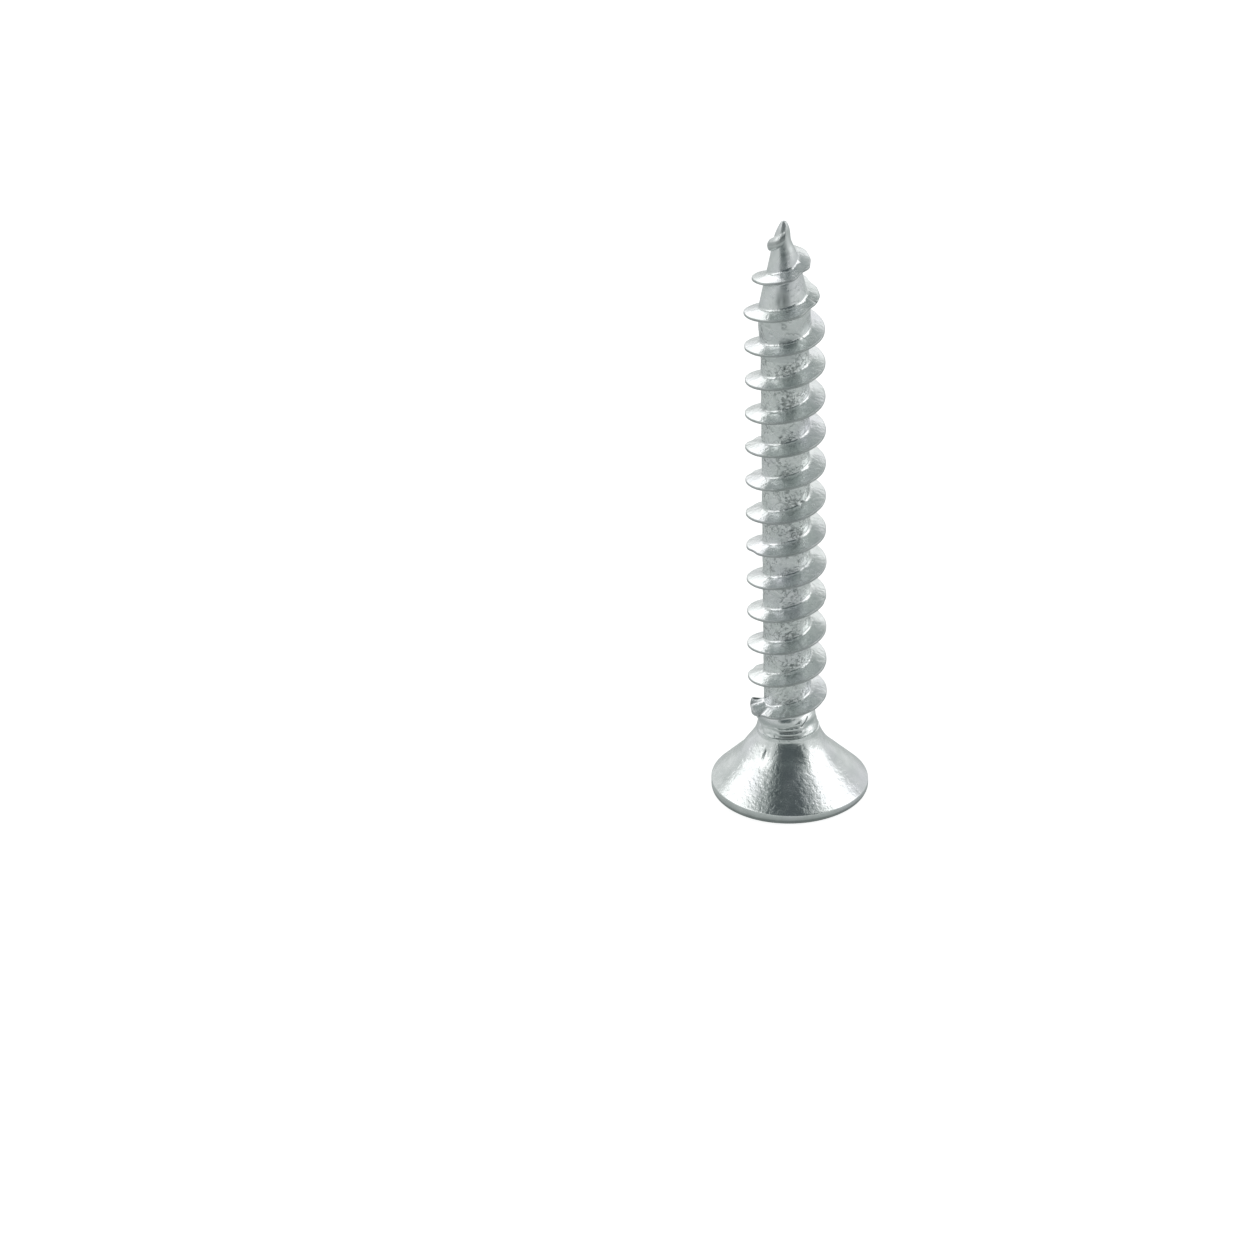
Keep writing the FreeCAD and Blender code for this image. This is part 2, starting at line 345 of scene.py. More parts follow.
def make_piece(name, vertices, faces, stain_and_shade, material, node, sharp_angle=50.0):
    """Closed smooth-shaded mesh that stands for one CAD node, from places in millimetres."""
    mesh = bpy.data.meshes.new(name)
    mesh.from_pydata((np.asarray(vertices) * MM).tolist(), [], faces)
    mesh.attributes.new("stain_and_shade", "FLOAT", "POINT").data.foreach_set("value", stain_and_shade)
    mesh.validate()
    mesh.update()
    mesh.shade_smooth()
    mesh.set_sharp_from_angle(angle=math.radians(sharp_angle))
    piece = bpy.data.objects.new(name, mesh)
    bpy.context.scene.collection.objects.link(piece)
    mesh.materials.append(material)
    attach(piece, BODY)
    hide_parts(node)
    return piece


def with_centres(stain_and_shade):
    """Staining and painted shade of a body of rings, with clean centres for the fans that close it."""
    return np.concatenate([stain_and_shade.reshape(-1), [0.0, 0.0]]).astype(np.float32)


def closed_rings(rings, first_centre, last_centre):
    """Vertices and faces of a body of rings that run up the axis, closed at both ends by fans."""
    count, around = rings.shape[:2]
    vertices = np.concatenate([rings.reshape(-1, 3), [first_centre, last_centre]])
    faces = []
    for ring in range(count - 1):
        low = ring * around
        high = low + around
        for place in range(around):
            following = (place + 1) % around
            faces.append((low + place, low + following, high + following, high + place))
    first, last = count * around, count * around + 1
    top = (count - 1) * around
    for place in range(around):
        following = (place + 1) % around
        faces.append((first, following, place))
        faces.append((last, top + place, top + following))
    return vertices, faces


# ---------------------------------------------------------------- head

def recess_outline(depth):
    """Distance from the axis to the recess wall at a depth, one value for each head angle."""
    fine = 4
    angles = np.arange(HEAD_ANGLES * fine) * 2 * math.pi / (HEAD_ANGLES * fine)
    share = depth / WING_DEPTH
    reach = WING_REACH + (WING_BOTTOM_REACH - WING_REACH) * share
    half_width = WING_HALF_WIDTH + (WING_BOTTOM_HALF_WIDTH - WING_HALF_WIDTH) * share
    centre = CENTRE_RADIUS + (CENTRE_BOTTOM_RADIUS - CENTRE_RADIUS) * share
    rib_reach = RIB_REACH * (RIB_CENTRE_DEPTH - depth) / (RIB_CENTRE_DEPTH - RIB_END_DEPTH)
    tiny = 1e-9
    distance = np.full(angles.shape, centre)
    for turn in (0, math.pi / 2):
        along = np.abs(np.cos(angles - turn)) + tiny
        across = np.abs(np.sin(angles - turn)) + tiny
        distance = np.maximum(distance, np.minimum(reach / along, half_width / across))
    if depth > RIB_END_DEPTH:
        for turn in (math.pi / 4, 3 * math.pi / 4):
            along = np.abs(np.cos(angles - turn)) + tiny
            across = np.abs(np.sin(angles - turn)) + tiny
            rib = np.minimum(max(rib_reach, 0.0) / along, RIB_HALF_WIDTH / across)
            distance = np.maximum(distance, np.minimum(rib, centre + RIB_OVERCUT))
    kernel = np.exp(-np.linspace(-2, 2, 2 * fine + 1) ** 2)
    kernel /= kernel.sum()
    padded = np.concatenate([distance[-fine:], distance, distance[:fine]])
    return np.convolve(padded, kernel, "valid")[::fine]


def tick_depth(radius, angles):
    """Depth of the four radial ticks cut in the flat face between the wings."""
    depth = np.zeros(radius.shape)
    for turn in (math.pi / 4, 3 * math.pi / 4):
        across = np.abs(np.sin(angles - turn)) * radius
        groove = np.clip(1 - (across / TICK_HALF_WIDTH) ** 2, 0, 1)
        fall = ramp(radius, TICK_REACH, TICK_REACH - TICK_FADE)
        depth = np.maximum(depth, TICK_DEPTH * groove * fall)
    return depth


def build_head(material):
    angles = np.arange(HEAD_ANGLES) * 2 * math.pi / HEAD_ANGLES
    cosine, sine = np.cos(angles), np.sin(angles)
    off_axis = RIM_SHIFT * cosine
    rings, painted_shade_rings = [], []

    def add(radius, height, stain_and_shade=FACE_STAIN):
        radius = radius + 0 * angles
        rings.append(np.stack([radius * cosine, radius * sine, height + 0 * angles], -1))
        painted_shade_rings.append(stain_and_shade + 0 * angles)

    # The recess floor and walls get painted shade, darker towards the bottom
    floor_outline = recess_outline(WING_DEPTH)
    for share in np.linspace(0.08, 0.98, 12):
        radius = floor_outline * share
        drop = np.clip(1 - radius / CENTRE_BOTTOM_RADIUS, 0, 1) * (CENTRE_TIP_DEPTH - WING_DEPTH)
        add(radius, WING_DEPTH + drop, RECESS_FLOOR_PAINTED_SHADE)
    for depth in np.linspace(WING_DEPTH, RECESS_EDGE_ROUNDING, 44):
        add(recess_outline(depth), depth, np.interp(depth, [0.0, WING_DEPTH], RECESS_WALL_PAINTED_SHADE))
    mouth = recess_outline(RECESS_EDGE_ROUNDING)
    for turn in np.linspace(0, math.pi / 2, 5)[1:]:
        add(mouth + RECESS_EDGE_ROUNDING * (1 - math.cos(turn)), RECESS_EDGE_ROUNDING * (1 - math.sin(turn)))
    face_start = mouth + RECESS_EDGE_ROUNDING
    face_edge = HEAD_RADIUS - RIM_ROUNDING + off_axis
    for share in np.linspace(0, 1, 30)[1:] ** 1.15:
        radius = face_start + (face_edge - face_start) * share
        add(radius, tick_depth(radius, angles) * min(1.0, share * 12))
    # The rim rounding gets painted shade
    for turn in np.linspace(0, math.pi / 2, 9)[1:]:
        add(face_edge + RIM_ROUNDING * math.sin(turn), RIM_ROUNDING * (1 - math.cos(turn)), RIM_PAINTED_SHADE)
    # The rim stands off the axis and the cone doesn't, so the land between them is uneven.
    cut = CONE_EDGE_ROUNDING * math.tan(CONE_ANGLE / 2)
    land_end = RIM_HEIGHT - off_axis - cut
    # The land gets painted shade, fading upwards from the rim
    for share in np.linspace(0, 1, 6)[1:]:
        height = RIM_ROUNDING + (land_end - RIM_ROUNDING) * share
        add(HEAD_RADIUS + off_axis, height, LAND_PAINTED_SHADE * (1 - share))
    for turn in np.linspace(0, CONE_ANGLE, 5)[1:]:
        add(
            HEAD_RADIUS + off_axis - CONE_EDGE_ROUNDING * (1 - math.cos(turn)),
            land_end + CONE_EDGE_ROUNDING * math.sin(turn),
        )
    cone_line = HEAD_RADIUS + RIM_HEIGHT
    flare_end = RING_HEIGHT - RING_LAND
    end_radius = RING_RADIUS + RING_LAND * RING_LAND_SLOPE
    corner = (cone_line - end_radius - flare_end * NECK_SLOPE) / (1 - NECK_SLOPE)
    reach = math.hypot(flare_end - corner, cone_line - corner - end_radius)
    flare_turn = CONE_ANGLE - math.atan(NECK_SLOPE)
    flare_radius = reach / math.tan(flare_turn / 2)
    flare_start = corner - reach * math.cos(CONE_ANGLE)
    start_radius = cone_line - flare_start
    first = land_end + CONE_EDGE_ROUNDING * math.sin(CONE_ANGLE)
    for share in np.linspace(0, 1, 40)[1:]:
        height = first + (flare_start - first) * share
        add(cone_line - height, height)
    for turn in np.linspace(0, flare_turn, 32)[1:]:
        slope = CONE_ANGLE - turn
        add(
            start_radius - flare_radius * (math.cos(slope) - math.cos(CONE_ANGLE)),
            flare_start + flare_radius * (math.sin(CONE_ANGLE) - math.sin(slope)),
        )
    for share in (0.06, 0.12, 0.5, 0.93):
        add(end_radius - RING_LAND * RING_LAND_SLOPE * share, flare_end + RING_LAND * share)
    add(RING_RADIUS - 0.03, RING_HEIGHT)
    rings = dent_head(np.array(rings), angles)
    vertices, faces = closed_rings(rings, (0, 0, CENTRE_TIP_DEPTH), (0, 0, RING_HEIGHT))
    stain_and_shade = with_centres(np.array(painted_shade_rings))
    return make_piece("head_with_recess", vertices, faces, stain_and_shade, material, "countersunk_head", 40.0)


def dent_head(rings, angles):
    """Handling dents and faint lumps, pressed towards the inside of the head."""
    radius = np.linalg.norm(rings[..., :2], axis=-1)
    outward = rings[..., :2] / np.maximum(radius, 1e-6)[..., None]
    outside = (rings[..., 2] > 0.2) & (radius > 1.9)
    push = HEAD_LUMP_DEPTH * ripple(rings, 1.4, 41) + HEAD_GRAIN_DEPTH * ripple(rings, 0.5, 42)
    push -= HEAD_PIT_DEPTH * pits(rings, 1.7, 0.22, 0.20, 43)
    for angle, height, half_width, half_length, depth in HEAD_DENTS:
        across = np.angle(np.exp(1j * (angles - math.radians(angle)))) * radius
        push -= depth * mark(across, 0.0, half_width) * mark(rings[..., 2], height, half_length)
    rings = rings.copy()
    rings[..., :2] += outward * (push * outside)[..., None]
    return rings


# ---------------------------------------------------------------- neck, core and point

def lap_crease(degrees, height, start, end, half_width):
    """Hump from 0 to 1 along the straight line between two places on the neck, each (angle, height)."""
    scale = math.radians(1.0) * NECK_RADIUS
    run = np.array([(end[0] - start[0]) * scale, end[1] - start[1]])
    across, up = (degrees - start[0]) * scale, height - start[1]
    share = np.clip((across * run[0] + up * run[1]) / run.dot(run), 0, 1)
    return mark(np.hypot(across - run[0] * share, up - run[1] * share), 0.0, half_width)


def build_neck(material):
    angles = np.arange(NECK_ANGLES) * 2 * math.pi / NECK_ANGLES
    heights = np.linspace(RING_HEIGHT, NECK_END, NECK_RINGS)
    angle, height = np.meshgrid(angles, heights)
    offset, stain_and_shade = relief(angle, height)
    points = np.stack([np.cos(angle) * 2, np.sin(angle) * 2, height], -1)
    wander = NECK_GROOVE_WANDER * ripple(points, 1.2, 51)
    from_front = np.degrees(np.angle(np.exp(1j * (angle - math.radians(NECK_FRONT)))))
    strength = np.clip(0.75 + 0.7 * ripple(points, 1.1, 52), 0.15, 1.2) * (0.15 + mark(from_front, 0.0, 60.0))
    turned = NECK_GROOVE_DEPTH * np.cos((height - RING_HEIGHT + wander) * 2 * math.pi / NECK_GROOVE_PITCH)
    fade = ramp(height, *NECK_GROOVES_FADE) * ramp(height, RING_HEIGHT, RING_HEIGHT + 0.06)
    ring_line = ramp(height, RING_HEIGHT + RING_LINE_HEIGHT, RING_HEIGHT) ** 2
    ring_line *= np.interp(from_front, RING_LINE_ANGLES, RING_LINE_SHARES)
    battered = 1 + 3.0 * mark(from_front, *NECK_BATTERED)
    peened = NECK_LUMP_DEPTH * ripple(points, 0.26, 53) * battered
    peened += NECK_PIT_DEPTH * pits(points, 0.5, 0.2, 0.35, 54)
    radius = body_radius(height) + offset + (turned * strength + peened) * fade
    radius -= RING_LINE_DEPTH * ring_line
    flat_angle, flat_height, half_width, half_length, flat_depth = NECK_FLAT
    beside = from_front - (flat_angle - NECK_FRONT)
    radius -= flat_depth * mark(beside, 0.0, half_width) * mark(height, flat_height, half_length)
    crease = lap_crease(from_front + NECK_FRONT, height, *NECK_CREASE[:3])
    radius -= NECK_CREASE[3] * crease
    # Painted shade in the groove bottoms, only round the front
    groove = ramp(turned, 0.0, -NECK_GROOVE_DEPTH) * mark(from_front, -2.0, 36.0) * fade
    groove *= np.clip(1.3 * strength, 0.4, 1.0)
    stain_and_shade = np.maximum(stain_and_shade, np.maximum(NECK_CREASE_DARKENING * crease, NECK_GROOVE_PAINTED_SHADE * groove))
    rings = np.stack([radius * np.cos(angle), radius * np.sin(angle), height], -1)
    vertices, faces = closed_rings(rings, (0, 0, RING_HEIGHT), (0, 0, NECK_END))
    stain_and_shade = with_centres(np.maximum(stain_and_shade, RING_LINE_DARKENING * ring_line))
    return make_piece("plain_neck", vertices, faces, stain_and_shade, material, "neck")


def build_core(material):
    angles = np.arange(CORE_ANGLES) * 2 * math.pi / CORE_ANGLES
    heights = np.linspace(NECK_END, POINT_START, CORE_RINGS)
    angle, height = np.meshgrid(angles, heights)
    offset, stain_and_shade = relief(angle, height)
    radius = body_radius(height) + offset
    rings = np.stack([radius * np.cos(angle), radius * np.sin(angle), height], -1)
    vertices, faces = closed_rings(rings, (0, 0, NECK_END), (0, 0, POINT_START))
    return make_piece("rolled_core", vertices, faces, with_centres(stain_and_shade), material, "shank_core")


def build_point(material):
    angles = np.arange(CORE_ANGLES) * 2 * math.pi / CORE_ANGLES
    heights = POINT_START + (SCREW_LENGTH - POINT_START) * np.linspace(0, 1, POINT_RINGS) ** 0.9
    angle, height = np.meshgrid(angles, heights)
    offset, stain_and_shade = relief(angle, height)
    points = np.stack([np.cos(angle), np.sin(angle), height], -1)
    pinch = TIP_PINCH * ripple(points, 0.7, 55) * ramp(height, 38.0, 39.0)
    dome = np.sqrt(np.clip((SCREW_LENGTH - height) / TIP_DOME, 0.02, 1))
    stain_and_shade = np.maximum(stain_and_shade, TIP_STAIN * ramp(height, 38.3, 38.8))
    smudge_angle, smudge_height, half_width, half_length, smudge_stain = POINT_SMUDGE
    beside = np.degrees(angle) - smudge_angle
    smudge = mark(beside, 0.0, half_width) * mark(height, smudge_height, half_length)
    streaks = np.clip(0.7 + 0.8 * ripple(points * np.array([4.0, 4.0, 1.0]), 0.5, 56), 0, 1.3)
    stain_and_shade = np.maximum(stain_and_shade, smudge_stain * smudge * streaks)
    radius = (body_radius(height) * (1 + pinch) + offset) * dome
    rings = np.stack([radius * np.cos(angle) + lean(height), radius * np.sin(angle), height], -1)
    vertices, faces = closed_rings(rings, (0, 0, POINT_START), (0, 0, SCREW_LENGTH))
    return make_piece("pointed_core", vertices, faces, with_centres(stain_and_shade), material, "gimlet_point")


# ---------------------------------------------------------------- thread

def curve_between(start, control, end, steps):
    """Places on a quadratic curve, without its first one."""
    share = np.linspace(0, 1, steps + 1)[1:, None]
    start, control, end = np.array(start), np.array(control), np.array(end)
    return start * (1 - share) ** 2 + control * 2 * share * (1 - share) + end * share ** 2


def flight_profile():
    """Half of the flight's section from crest to root: (offset along the axis, rise as a share)."""
    crest = np.array([[0.0, 1.0], [0.035, 1.0]])
    rounded = curve_between((0.035, 1.0), (0.075, 1.0), (0.092, 0.93), 4)
    flank = np.linspace((0.092, 0.93), (0.295, 0.24), 10)[1:]
    flare = curve_between((0.295, 0.24), (0.365, 0.0), (0.50, 0.0), 8)
    return np.concatenate([crest, rounded, flank, flare])


def crest_radius_at(turns, along):
    """Crest radius at turns, with its waves, nicks and the places where it was cut short."""
    crest_height = FIRST_CREST_HEIGHT + PITCH * turns
    on_point = smooth_outline(CREST_OUTLINE, crest_height)
    radius = np.where(crest_height < CREST_OUTLINE[0][0], THREAD_RADIUS, on_point)
    radius = radius + CREST_WAVE_DEPTH * ripple(along, 1.6, 61) + CREST_GRAIN_DEPTH * ripple(along, 0.5, 62)
    radius -= CREST_NICK_DEPTH * pits(along, 1.4, 0.35, 0.25, 63)
    for centre, half_width, depth in CREST_CUTS:
        radius -= depth * mark(turns, centre, half_width)
    return radius


def dark_patch_on_bulb(turns, share, side, along):
    """Dark patch, from 0 to 1, on top of the swollen first end."""
    patch = mark(turns, *DARK_PATCH_TURNS) * mark(share, *DARK_PATCH_SHARE) * (side > 0)
    return np.clip(1.6 * patch * (1 + 0.5 * ripple(along + share[..., None], 0.4, 68)), 0, 1)


def sunk_foot(points):
    """The flight's two foot edges again, inside the root body, upper and lower, to close each section."""
    sunken = []
    for column in (-1, 0):
        edge = points[:, column, :]
        reach = np.linalg.norm(edge[:, :2], axis=-1, keepdims=True)
        sunk = edge.copy()
        sunk[:, :2] *= (reach - min(SUNK_DEPTH, BODY_OUTLINE[-1][1])) / reach
        sunken.append(sunk[:, None, :])
    return sunken


def flight_rings(start_turn, end_turn):
    """Sections of the flight between two turns, each a closed loop of places, and their staining and painted
    shade.
    """
    half = flight_profile()
    outline = np.concatenate([half[::-1], half[1:] * np.array([-1.0, 1.0])])
    share = outline[None, :, 1]
    side = np.sign(outline[None, :, 0])
    count = math.ceil((end_turn - start_turn) * SECTIONS_PER_TURN)
    turns = np.linspace(start_turn, end_turn, count + 1)[:, None]
    angle = math.pi + 2 * math.pi * turns
    crest_height = FIRST_CREST_HEIGHT + PITCH * turns
    along = np.concatenate([np.cos(angle) * 2, np.sin(angle) * 2, crest_height], -1)[:, None, :]

    # Both ends are pinched from the sharp section to a rounded stub, and the first end swells.
    start = ramp(turns, FIRST_TURN, FIRST_TURN + BLUNT_TURNS)
    start = np.sqrt(1 - (1 - start) ** 2)
    bulb = mark(turns, 0.0, BULB_TURNS)
    full_rise = THREAD_RADIUS - CORE_RADIUS
    crest_radius = crest_radius_at(turns, along)
    rise = np.minimum(crest_radius - body_radius(crest_height), full_rise * 1.02)
    rise = rise * (END_RISE + (1 - END_RISE) * start)
    size = np.clip(rise / full_rise, 0.02, 1)
    sharp = outline[None, :, 0] * np.sqrt(size)
    half_thickness = np.where(turns < 1, BULB_HALF_THICKNESS, HOOK_HALF_THICKNESS)
    stub = half_thickness * side * np.sqrt(np.clip(1 - share ** 2, 0, 1)) * np.clip(size / 0.25, 0.3, 1)
    pinched = np.maximum(np.minimum(ramp(crest_height, *HOOK_HEIGHTS), HOOK_PINCH), BULB_PINCH * bulb)
    offset = (sharp * (1 - pinched) + stub * pinched) * (END_THICKNESS + (1 - END_THICKNESS) * start)
    bank_centre, bank_half_width = FOOT_BANK_TURNS
    banked = ramp(np.abs(turns - bank_centre), bank_half_width, 0.0) * ramp(share, 0.24, 0.0)
    offset = offset - FOOT_BANK * banked * (side < 0)
    sway = CREST_SWAY * ripple(along, 1.1, 64)
    height = crest_height + offset + sway * share + BULB_CURL * bulb * share ** 3

    # The root body's relief runs on over the foot, and over the whole flank where it is rough.
    low, stain_and_shade = relief(angle + 0 * height, height)
    foot = ramp(share, 0.3, 0.0)
    rough = ramp(turns, *ROUGH_START) * ramp(turns, *ROUGH_END)
    radius = body_radius(height) + rise * share + low * foot
    # The crest gets painted shade
    stain_and_shade = np.maximum(stain_and_shade * np.maximum(foot, 0.7 * rough), CREST_PAINTED_SHADE * ramp(share, 0.93, 0.98))
    # A dark patch on top of the first end
    stain_and_shade = np.maximum(stain_and_shade, dark_patch_on_bulb(turns, share, side, along))
    # Painted shade over the outer part of the swollen first end
    stain_and_shade = np.maximum(stain_and_shade, BULB_EDGE_PAINTED_SHADE * bulb * ramp(share, 0.7, 1.0))
    stain_and_shade = np.maximum(stain_and_shade, TIP_STAIN * ramp(crest_height, 38.1, 38.5))

    points = np.stack([radius * np.cos(angle) + lean(height), radius * np.sin(angle), height], -1)
    on_flank = ramp(share, 0.0, 0.2)
    lumps = FLANK_LUMP_DEPTH * ripple(points, 0.8, 65) + FLANK_GRAIN_DEPTH * ripple(points, 0.3, 66)
    points[..., 2] += side * on_flank * lumps
    points[..., 2] += FOOT_LUMP_DEPTH * side * ripple(points, 0.28, 67) * mark(share, 0.12, 0.12)
    points[..., 2] += side * low * rough * on_flank
    for centre, half_width, depth in FLANK_FOLDS:
        fold = mark(turns, centre, half_width) * np.clip(share * 1.4 - 0.2, 0, 1)
        points[..., 2] -= side * depth * fold
        stain_and_shade = np.maximum(stain_and_shade, FOLD_STAIN * fold)
    rings = np.concatenate([points, *sunk_foot(points)], axis=1)
    stain_and_shade = np.concatenate([stain_and_shade, np.zeros((count + 1, 2))], axis=1)
    return rings, stain_and_shade


def build_flight(name, node, start_turn, end_turn, material):
    rings, stain_and_shade = flight_rings(start_turn, end_turn)
    first_centre = rings[0].mean(axis=0)
    last_centre = rings[-1].mean(axis=0)
    vertices, faces = closed_rings(rings, first_centre, last_centre)
    return make_piece(name, vertices, faces, with_centres(stain_and_shade), material, node, 60.0)


# ---------------------------------------------------------------- node helpers

def set_stops(color_node, stops):
    """Places a colour ramp's stops, each (place from 0 to 1, colour)."""
    elements = color_node.color_ramp.elements
    while len(elements) < len(stops):
        elements.new(0.5)
    for element, (place, color) in zip(elements, stops):
        element.position = place
        element.color = (*color, 1.0)


def calculated(nodes, links, operation, *values):
    """Output of one arithmetic node; each value is a socket or a number."""
    node = nodes.new("ShaderNodeMath")
    node.operation = operation
    for place, value in enumerate(values):
        if isinstance(value, (int, float)):
            node.inputs[place].default_value = value
        else:
            links.new(value, node.inputs[place])
    return node.outputs["Value"]


# ---------------------------------------------------------------- materials

# One dark colour for staining and for painted shade
STAIN_AND_SHADE_COLOR = (0.11, 0.14, 0.135)
VIOLET_TINT = (0.82, 0.81, 0.87)


def zinc_material(name, light, dark, roughness, pit_depth, scuff_depth, ring_depth=0.0, hair_depth=0.0):
    """Zinc plate: cloudy colour, uneven gloss, fine pits and scuffs, all in object coordinates.

    A ring depth adds turned rings and a hair depth adds dark hairlines. Depths are in metres.
    """
    material = bpy.data.materials.new(name)
    material.use_nodes = True
    nodes = material.node_tree.nodes
    links = material.node_tree.links
    nodes.clear()
    output = nodes.new("ShaderNodeOutputMaterial")
    shader = nodes.new("ShaderNodeBsdfPrincipled")
    shader.inputs["Metallic"].default_value = 1.0
    links.new(shader.outputs["BSDF"], output.inputs["Surface"])
    place = nodes.new("ShaderNodeTexCoord")

    def noise(scale, detail, stretch=None):
        texture = nodes.new("ShaderNodeTexNoise")
        texture.inputs["Scale"].default_value = scale
        texture.inputs["Detail"].default_value = detail
        source = place.outputs["Object"]
        if stretch is not None:
            mapping = nodes.new("ShaderNodeMapping")
            mapping.inputs["Scale"].default_value = stretch
            links.new(source, mapping.inputs["Vector"])
            source = mapping.outputs["Vector"]
        links.new(source, texture.inputs["Vector"])
        return texture.outputs["Fac"]

    def ranged(value, low, high, out_low, out_high):
        spread = nodes.new("ShaderNodeMapRange")
        spread.inputs["From Min"].default_value = low
        spread.inputs["From Max"].default_value = high
        spread.inputs["To Min"].default_value = out_low
        spread.inputs["To Max"].default_value = out_high
        links.new(value, spread.inputs["Value"])
        return spread.outputs["Result"]

    def bump(value, depth, normal=None):
        node = nodes.new("ShaderNodeBump")
        node.inputs["Strength"].default_value = 1.0
        node.inputs["Distance"].default_value = depth
        links.new(value, node.inputs["Height"])
        if normal is not None:
            links.new(normal, node.inputs["Normal"])
        return node.outputs["Normal"]

    def blended(share, first, second):
        mix = nodes.new("ShaderNodeMix")
        mix.data_type = "RGBA"
        links.new(share, mix.inputs["Factor"])
        for socket, color in (("A", first), ("B", second)):
            if isinstance(color, tuple):
                mix.inputs[socket].default_value = (*color, 1.0)
            else:
                links.new(color, mix.inputs[socket])
        return mix.outputs["Result"]

    # The mesh attribute read here holds real staining and painted shade; it darkens the colour and dulls the
    # gloss
    stain_and_shade = nodes.new("ShaderNodeAttribute")
    stain_and_shade.attribute_name = "stain_and_shade"
    stain_and_shade_amount = stain_and_shade.outputs["Fac"]
    cloud = ranged(noise(900.0, 6.0), 0.35, 0.68, 0.0, 1.0)
    color = blended(cloud, dark, light)
    color = blended(ranged(noise(330.0, 2.0), 0.45, 0.75, 0.0, 0.5), color, VIOLET_TINT)
    color = blended(ranged(stain_and_shade_amount, 0.0, 1.0, 0.0, 0.95), color, STAIN_AND_SHADE_COLOR)
    hairlines = None
    if hair_depth:
        offset = calculated(nodes, links, "SUBTRACT", noise(2600.0, 3.0), 0.5)
        line = ranged(calculated(nodes, links, "ABSOLUTE", offset), 0.0, 0.038, 1.0, 0.0)
        patch = ranged(noise(800.0, 2.0), 0.38, 0.54, 0.0, 1.0)
        hairlines = calculated(nodes, links, "MULTIPLY", line, patch)
        color = blended(ranged(hairlines, 0.0, 1.0, 0.0, 0.65), color, STAIN_AND_SHADE_COLOR)
    links.new(color, shader.inputs["Base Color"])
    gloss = ranged(noise(1500.0, 5.0), 0.3, 0.7, roughness * 0.75, roughness * 1.35)
    links.new(calculated(nodes, links, "MULTIPLY_ADD", stain_and_shade_amount, 0.9, gloss), shader.inputs["Roughness"])
    normal = bump(noise(8000.0, 2.0), pit_depth * 0.35)
    normal = bump(ranged(noise(3600.0, 3.0), 0.32, 0.56, 0.0, 1.0), pit_depth, normal)
    normal = bump(noise(1200.0, 4.0, (1.0, 1.0, 9.0)), scuff_depth, normal)
    normal = bump(noise(1500.0, 4.0, (7.0, 1.2, 1.0)), scuff_depth * 0.7, normal)
    if ring_depth:
        normal = bump(noise(500.0, 3.0, (0.6, 0.6, 16.0)), ring_depth, normal)
    if hairlines is not None:
        normal = bump(ranged(hairlines, 0.0, 1.0, 1.0, 0.0), hair_depth, normal)
    links.new(normal, shader.inputs["Normal"])
    return material


# ---------------------------------------------------------------- studio

def build_floor():
    half = 4.0
    mesh = bpy.data.meshes.new("studio_floor")
    corners = [(-half, -half, 0), (half, -half, 0), (half, half, 0), (-half, half, 0)]
    mesh.from_pydata(corners, [], [(0, 1, 2, 3)])
    floor = bpy.data.objects.new("studio_floor", mesh)
    bpy.context.scene.collection.objects.link(floor)
    material = bpy.data.materials.new("pale_floor")
    material.use_nodes = True
    shader = material.node_tree.nodes["Principled BSDF"]
    shader.inputs["Base Color"].default_value = (0.45, 0.45, 0.45, 1.0)
    shader.inputs["Roughness"].default_value = 0.9
    shader.inputs["Specular IOR Level"].default_value = 0.1
    shader.inputs["Emission Color"].default_value = (1.0, 1.0, 1.0, 1.0)
    shader.inputs["Emission Strength"].default_value = 0.85
    mesh.materials.append(material)
    floor.visible_glossy = False


# Soft boxes and dark openings, in degrees: (azimuth from, to, elevation from, to, softness, brightness).
# An azimuth beyond 180 keeps a box that reaches round the back from ending there.
TENT_WINDOWS = [
    (-118, -53, 19, 47, 14, 1.75), (-200, -142, 10, 56, 14, 1.65), (168, 200, 10, 56, 14, 1.65),
    (66, 115, 10, 66, 14, 1.80), (143, 165, 12, 38, 10, 1.25), (-200, 200, 78, 100, 12, 0.55),
    (-42, 37, 42, 78, 10, 0.11), (-35, 51, 6, 42, 10, 0.11), (-28, 26, -6, 8, 12, 0.13),
]
# Brightness of the bare tent by the sine of the elevation, from straight down to straight up
TENT_HEIGHTS = [
    (-1.0, 0.42), (-0.8, 0.46), (-0.5, 0.56), (-0.1, 0.74), (0.0, 0.95),
    (0.12, 0.85), (0.36, 0.74), (0.60, 0.60), (0.85, 0.42), (1.0, 0.33),
]
# Colour by brightness: the dim parts of the tent are a little green-blue
TENT_COLORS = [
    (0.0, (0.0, 0.0, 0.0)), (0.1, (0.084, 0.102, 0.108)), (0.3, (0.265, 0.305, 0.300)),
    (0.6, (0.577, 0.612, 0.603)), (1.0, (0.985, 1.0, 1.0)), (2.0, (2.0, 2.0, 2.0)),
]
BRIGHTEST = 2.0
TENT_STRENGTH = 0.83


def tent_angles(nodes, links, split):
    """Azimuth from the camera's side towards +X, and elevation, of a direction, in degrees."""
    behind = calculated(nodes, links, "MULTIPLY", split.outputs["Y"], -1.0)
    azimuth = calculated(nodes, links, "ARCTAN2", split.outputs["X"], behind)
    elevation = calculated(nodes, links, "ARCSINE", split.outputs["Z"])
    return [calculated(nodes, links, "DEGREES", angle) for angle in (azimuth, elevation)]


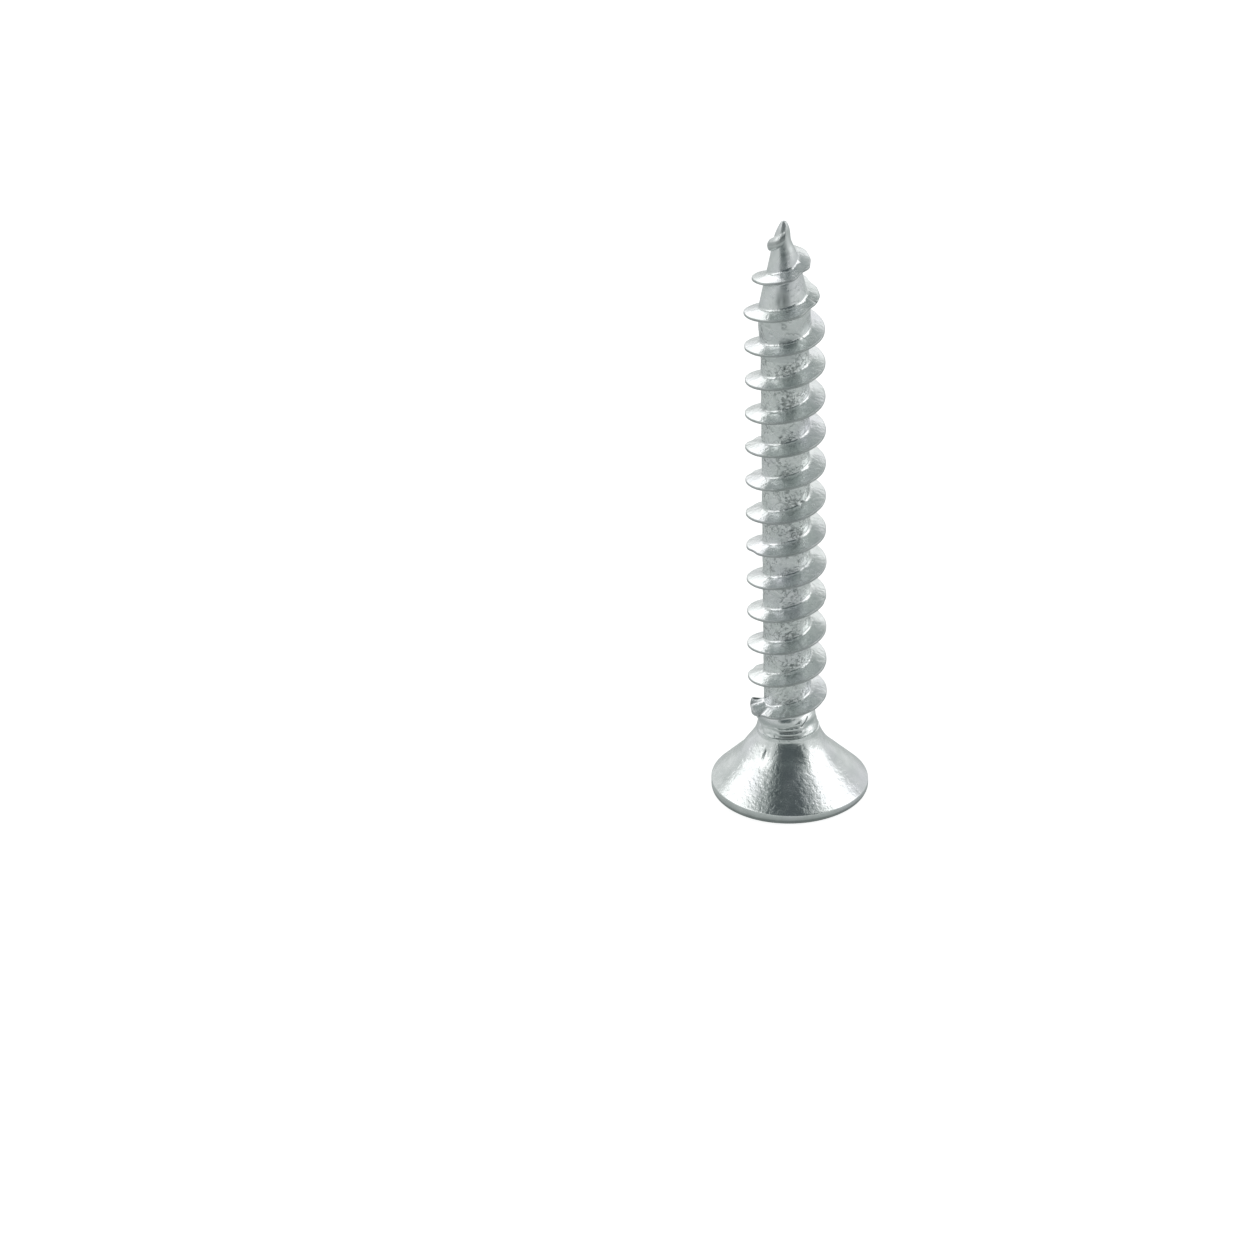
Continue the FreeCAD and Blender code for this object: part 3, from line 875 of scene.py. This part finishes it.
def build_world():
    """Pale light tent: white at the horizon, greyer overhead, with soft boxes and dark openings."""
    world = bpy.data.worlds.new("studio")
    bpy.context.scene.world = world
    world.use_nodes = True
    nodes = world.node_tree.nodes
    links = world.node_tree.links
    place = nodes.new("ShaderNodeTexCoord")
    split = nodes.new("ShaderNodeSeparateXYZ")
    links.new(place.outputs["Generated"], split.inputs["Vector"])
    lift = nodes.new("ShaderNodeMapRange")
    lift.inputs["From Min"].default_value = -1.0
    links.new(split.outputs["Z"], lift.inputs["Value"])
    bare = nodes.new("ShaderNodeValToRGB")
    set_stops(bare, [((height + 1) / 2, (light, light, light)) for height, light in TENT_HEIGHTS])
    links.new(lift.outputs["Result"], bare.inputs["Fac"])
    azimuth, elevation = tent_angles(nodes, links, split)
    level = bare.outputs["Color"]
    for left, right, low, high, softness, brightness in TENT_WINDOWS:
        edges = [(azimuth, left, 1), (azimuth, right, -1), (elevation, low, 1), (elevation, high, -1)]
        sides = []
        for angle, edge, sign in edges:
            side = nodes.new("ShaderNodeMapRange")
            side.interpolation_type = "SMOOTHSTEP"
            side.inputs["From Min"].default_value = edge - sign * softness / 2
            side.inputs["From Max"].default_value = edge + sign * softness / 2
            links.new(angle, side.inputs["Value"])
            sides.append(side.outputs["Result"])
        mask = sides[0]
        for side in sides[1:]:
            mask = calculated(nodes, links, "MULTIPLY", mask, side)
        patch = nodes.new("ShaderNodeMix")
        patch.data_type = "FLOAT"
        links.new(mask, patch.inputs["Factor"])
        links.new(level, patch.inputs["A"])
        patch.inputs["B"].default_value = brightness
        level = patch.outputs["Result"]
    share = calculated(nodes, links, "DIVIDE", level, BRIGHTEST)
    colors = nodes.new("ShaderNodeValToRGB")
    set_stops(colors, [
        (light / BRIGHTEST, [part / BRIGHTEST for part in color]) for light, color in TENT_COLORS
    ])
    links.new(share, colors.inputs["Fac"])
    links.new(colors.outputs["Color"], nodes["Background"].inputs["Color"])
    nodes["Background"].inputs["Strength"].default_value = BRIGHTEST * TENT_STRENGTH


def build_camera():
    camera_data = bpy.data.cameras.new("camera")
    camera_data.lens = CAMERA_LENS
    camera_data.sensor_width = 36.0
    camera_data.clip_start = 0.01
    camera_data.clip_end = 50.0
    camera = bpy.data.objects.new("camera", camera_data)
    bpy.context.scene.collection.objects.link(camera)
    back = -math.cos(CAMERA_ELEVATION) * CAMERA_DISTANCE
    up = math.sin(CAMERA_ELEVATION) * CAMERA_DISTANCE
    camera.location = Vector((0.0, back, up))
    aim = (CAMERA_TARGET - camera.location).to_track_quat("-Z", "Y")
    camera.rotation_mode = "QUATERNION"
    camera.rotation_quaternion = aim @ Quaternion((0.0, 0.0, 1.0), CAMERA_ROLL)
    bpy.context.scene.camera = camera


build_camera()
build_world()
build_floor()

forged_zinc = zinc_material(
    "forged_zinc", light=(0.89, 0.915, 0.91), dark=(0.74, 0.775, 0.765), roughness=0.21,
    pit_depth=0.008 * MM, scuff_depth=0.0006 * MM,
)
turned_zinc = zinc_material(
    "turned_zinc", light=(0.88, 0.905, 0.895), dark=(0.72, 0.76, 0.75), roughness=0.22,
    pit_depth=0.010 * MM, scuff_depth=0.004 * MM, ring_depth=0.005 * MM,
)
rolled_zinc = zinc_material(
    "rolled_zinc", light=(0.95, 0.975, 0.965), dark=(0.79, 0.825, 0.815), roughness=0.25,
    pit_depth=0.012 * MM, scuff_depth=0.003 * MM, hair_depth=0.010 * MM,
)
point_zinc = zinc_material(
    "point_zinc", light=(0.88, 0.905, 0.90), dark=(0.74, 0.775, 0.77), roughness=0.29,
    pit_depth=0.004 * MM, scuff_depth=0.001 * MM,
)
flight_zinc = zinc_material(
    "flight_zinc", light=(0.88, 0.905, 0.90), dark=(0.74, 0.775, 0.765), roughness=0.22,
    pit_depth=0.008 * MM, scuff_depth=0.0015 * MM,
)

split_turn = (POINT_THREAD_START - FIRST_CREST_HEIGHT) / PITCH
end_turn = (THREAD_END - FIRST_CREST_HEIGHT) / PITCH
build_head(forged_zinc)
build_neck(turned_zinc)
build_core(rolled_zinc)
build_point(point_zinc)
build_flight("shank_flight", "shank_thread", FIRST_TURN, split_turn, flight_zinc)
build_flight("point_flight", "point_thread", split_turn, end_turn, flight_zinc)

bpy.context.scene.view_settings.view_transform = "Standard"
